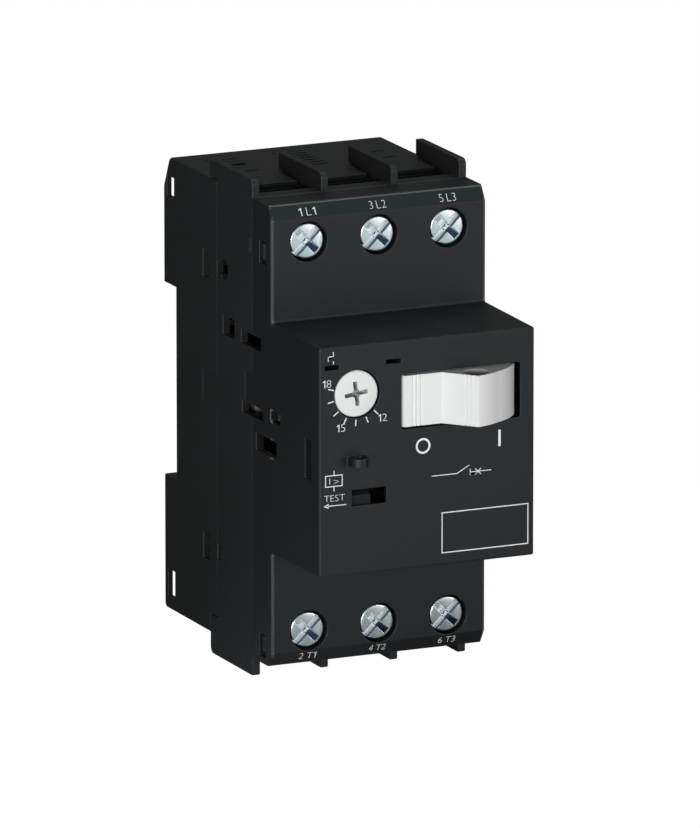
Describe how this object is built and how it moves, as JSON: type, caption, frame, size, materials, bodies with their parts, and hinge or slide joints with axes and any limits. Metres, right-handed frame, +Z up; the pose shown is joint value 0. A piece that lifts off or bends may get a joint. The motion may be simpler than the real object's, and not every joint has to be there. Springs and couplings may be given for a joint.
{
  "type": "motor protection breaker",
  "caption": "DIN-rail motor protection breaker with a rocker, a current dial, a test slider and box terminals for three poles.",
  "frame": {"origin": "centre of the rail seat, on the plane that meets the front of the DIN rail", "axes": "+Z up, from the load side to the line side; -Y towards the user; +X to the right seen from the front"},
  "size_m": [0.045, 0.0792, 0.0978],
  "materials": {
    "rear_plastic": "as moulded",
    "frame_plastic": "as moulded",
    "cover_plastic": "as moulded",
    "rocker_plastic": "as moulded",
    "dial_plastic": "as moulded",
    "slider_plastic": "as moulded",
    "inner_plastic": "as moulded",
    "latch_plastic": "as moulded",
    "steel": "as rolled",
    "spring_steel": "as rolled",
    "zinc_steel": "as rolled",
    "copper": "as rolled",
    "bimetal": "as rolled",
    "heater_wire": "as rolled"
  },
  "bodies": {
    "housing": {"rear_housing": "rear_plastic", "middle_housing": "frame_plastic", "front_cover": "cover_plastic", "rocker_shaft": "steel", "rocker_spring": "spring_steel", "lock_frame": "steel", "latch_pin": "steel", "latch_spring": "spring_steel", "bimetals": "bimetal", "heater_windings": "heater_wire", "opening_springs": "spring_steel", "arc_chutes_line": "steel", "arc_chutes_load": "steel", "magnet_yokes": "steel", "plunger_springs": "spring_steel", "terminal_nuts": "zinc_steel", "rail_latch_spring": "spring_steel", "line_bar_1": "copper", "link_bar_1": "copper", "load_bar_1": "copper", "magnet_coil_1": "copper", "line_bar_2": "copper", "link_bar_2": "copper", "load_bar_2": "copper", "magnet_coil_2": "copper", "line_bar_3": "copper", "link_bar_3": "copper", "load_bar_3": "copper", "magnet_coil_3": "copper"},
    "rocker": {"rocker": "rocker_plastic", "crank_pin": "steel"},
    "carrier": {"contact_carrier": "inner_plastic", "contact_springs": "spring_steel", "contact_bridge_1": "copper", "contact_bridge_2": "copper", "contact_bridge_3": "copper"},
    "latch": {"latch_lever": "steel"},
    "trip": {"trip_bar": "inner_plastic"},
    "test": {"test_slider": "slider_plastic"},
    "dial": {"adjustment_dial": "dial_plastic"},
    "compensation": {"compensation_lever": "inner_plastic"},
    "overload": {"overload_slide": "inner_plastic"},
    "phase": {"phase_slide": "inner_plastic"},
    "differential": {"differential_lever": "inner_plastic"},
    "rail": {"rail_latch": "latch_plastic"},
    "plunger_1": {"plunger_1": "steel"},
    "plunger_2": {"plunger_2": "steel"},
    "plunger_3": {"plunger_3": "steel"},
    "line_clamp_1": {"line_clamp_1": "zinc_steel"},
    "line_screw_1": {"line_screw_1": "zinc_steel"},
    "line_clamp_2": {"line_clamp_2": "zinc_steel"},
    "line_screw_2": {"line_screw_2": "zinc_steel"},
    "line_clamp_3": {"line_clamp_3": "zinc_steel"},
    "line_screw_3": {"line_screw_3": "zinc_steel"},
    "load_clamp_1": {"load_clamp_1": "zinc_steel"},
    "load_screw_1": {"load_screw_1": "zinc_steel"},
    "load_clamp_2": {"load_clamp_2": "zinc_steel"},
    "load_screw_2": {"load_screw_2": "zinc_steel"},
    "load_clamp_3": {"load_clamp_3": "zinc_steel"},
    "load_screw_3": {"load_screw_3": "zinc_steel"}
  },
  "joints": [
    {"name": "rocker_tilt", "type": "hinge", "parent": "housing", "child": "rocker", "pos_m": [0.0071, -0.0586, 0.00544], "axis": [0, 0, 1], "range_deg": [0, 48.5]},
    {"name": "carrier_slide", "type": "slide", "parent": "housing", "child": "carrier", "axis": [0, 1, 0], "range_m": [0, 0.00325], "deforming": ["opening_springs"]},
    {"name": "test_push", "type": "slide", "parent": "housing", "child": "test", "axis": [-1, 0, 0], "range_m": [0, 0.003], "stiffness_N_per_m": 60},
    {"name": "trip_bar_turn", "type": "hinge", "parent": "housing", "child": "trip", "pos_m": [0, -0.05065, -0.0035], "axis": [-1, 0, 0], "range_deg": [0, 8.02]},
    {"name": "latch_turn", "type": "hinge", "parent": "housing", "child": "latch", "pos_m": [0, -0.04765, 0.008], "axis": [0, 0, -1], "range_deg": [0, 24.05]},
    {"name": "dial_turn", "type": "hinge", "parent": "housing", "child": "dial", "pos_m": [-0.01465, -0.06765, 0.0129], "axis": [0, 1, 0], "range_deg": [-124.5, 24.9]},
    {"name": "compensation_turn", "type": "hinge", "parent": "housing", "child": "compensation", "pos_m": [-0.0101, -0.05945, -0.0015], "axis": [0, 1, 0], "range_deg": [-4.08, 0.83]},
    {"name": "overload_push", "type": "slide", "parent": "housing", "child": "overload", "axis": [1, 0, 0], "range_m": [0, 0.001], "stiffness_N_per_m": 60},
    {"name": "phase_slip", "type": "slide", "parent": "overload", "child": "phase", "axis": [-1, 0, 0], "range_m": [0, 0.00045], "stiffness_N_per_m": 60},
    {"name": "differential_turn", "type": "hinge", "parent": "overload", "child": "differential", "pos_m": [-0.0154, -0.05835, -0.0172], "axis": [0, 1, 0], "range_deg": [0, 12.33]},
    {"name": "plunger_1_push", "type": "slide", "parent": "housing", "child": "plunger_1", "axis": [0, -1, 0], "range_m": [0, 0.002], "stiffness_N_per_m": 80, "deforming": ["plunger_springs"]},
    {"name": "plunger_2_push", "type": "slide", "parent": "housing", "child": "plunger_2", "axis": [0, -1, 0], "range_m": [0, 0.002], "stiffness_N_per_m": 80, "deforming": ["plunger_springs"]},
    {"name": "plunger_3_push", "type": "slide", "parent": "housing", "child": "plunger_3", "axis": [0, -1, 0], "range_m": [0, 0.002], "stiffness_N_per_m": 80, "deforming": ["plunger_springs"]},
    {"name": "rail_latch_slide", "type": "slide", "parent": "housing", "child": "rail", "axis": [0, 0, -1], "range_m": [0, 0.0035], "stiffness_N_per_m": 400, "deforming": ["rail_latch_spring"]},
    {"name": "line_clamp_1_slide", "type": "slide", "parent": "housing", "child": "line_clamp_1", "axis": [0, 1, 0], "range_m": [0, 0.0049]},
    {"name": "line_screw_1_turn", "type": "hinge", "parent": "line_clamp_1", "child": "line_screw_1", "pos_m": [-0.0147, -0.04475, 0.0379], "axis": [0, 1, 0], "range_deg": [0, 2528]},
    {"name": "line_clamp_2_slide", "type": "slide", "parent": "housing", "child": "line_clamp_2", "axis": [0, 1, 0], "range_m": [0, 0.0049]},
    {"name": "line_screw_2_turn", "type": "hinge", "parent": "line_clamp_2", "child": "line_screw_2", "pos_m": [0, -0.04475, 0.0379], "axis": [0, 1, 0], "range_deg": [0, 2528]},
    {"name": "line_clamp_3_slide", "type": "slide", "parent": "housing", "child": "line_clamp_3", "axis": [0, 1, 0], "range_m": [0, 0.0049]},
    {"name": "line_screw_3_turn", "type": "hinge", "parent": "line_clamp_3", "child": "line_screw_3", "pos_m": [0.0147, -0.04475, 0.0379], "axis": [0, 1, 0], "range_deg": [0, 2528]},
    {"name": "load_clamp_1_slide", "type": "slide", "parent": "housing", "child": "load_clamp_1", "axis": [0, 1, 0], "range_m": [0, 0.0049]},
    {"name": "load_screw_1_turn", "type": "hinge", "parent": "load_clamp_1", "child": "load_screw_1", "pos_m": [-0.0147, -0.04475, -0.0386], "axis": [0, 1, 0], "range_deg": [0, 2528]},
    {"name": "load_clamp_2_slide", "type": "slide", "parent": "housing", "child": "load_clamp_2", "axis": [0, 1, 0], "range_m": [0, 0.0049]},
    {"name": "load_screw_2_turn", "type": "hinge", "parent": "load_clamp_2", "child": "load_screw_2", "pos_m": [0, -0.04475, -0.0386], "axis": [0, 1, 0], "range_deg": [0, 2528]},
    {"name": "load_clamp_3_slide", "type": "slide", "parent": "housing", "child": "load_clamp_3", "axis": [0, 1, 0], "range_m": [0, 0.0049]},
    {"name": "load_screw_3_turn", "type": "hinge", "parent": "load_clamp_3", "child": "load_screw_3", "pos_m": [0.0147, -0.04475, -0.0386], "axis": [0, 1, 0], "range_deg": [0, 2528]}
  ],
  "couplings": [
    {"joint": "rocker_tilt", "follows": "carrier_slide", "rad_per_m": 257.46},
    {"joint": "trip_bar_turn", "follows": "test_push", "rad_per_m": 46.542},
    {"joint": "latch_turn", "follows": "test_push", "rad_per_m": 139.63},
    {"joint": "compensation_turn", "follows": "dial_turn", "ratio": 0.032598},
    {"joint": "differential_turn", "follows": "phase_slip", "rad_per_m": 476.19},
    {"joint": "line_screw_1_turn", "follows": "line_clamp_1_slide", "rad_per_m": 8976},
    {"joint": "line_screw_2_turn", "follows": "line_clamp_2_slide", "rad_per_m": 8976},
    {"joint": "line_screw_3_turn", "follows": "line_clamp_3_slide", "rad_per_m": 8976},
    {"joint": "load_screw_1_turn", "follows": "load_clamp_1_slide", "rad_per_m": 8976},
    {"joint": "load_screw_2_turn", "follows": "load_clamp_2_slide", "rad_per_m": 8976},
    {"joint": "load_screw_3_turn", "follows": "load_clamp_3_slide", "rad_per_m": 8976}
  ]
}
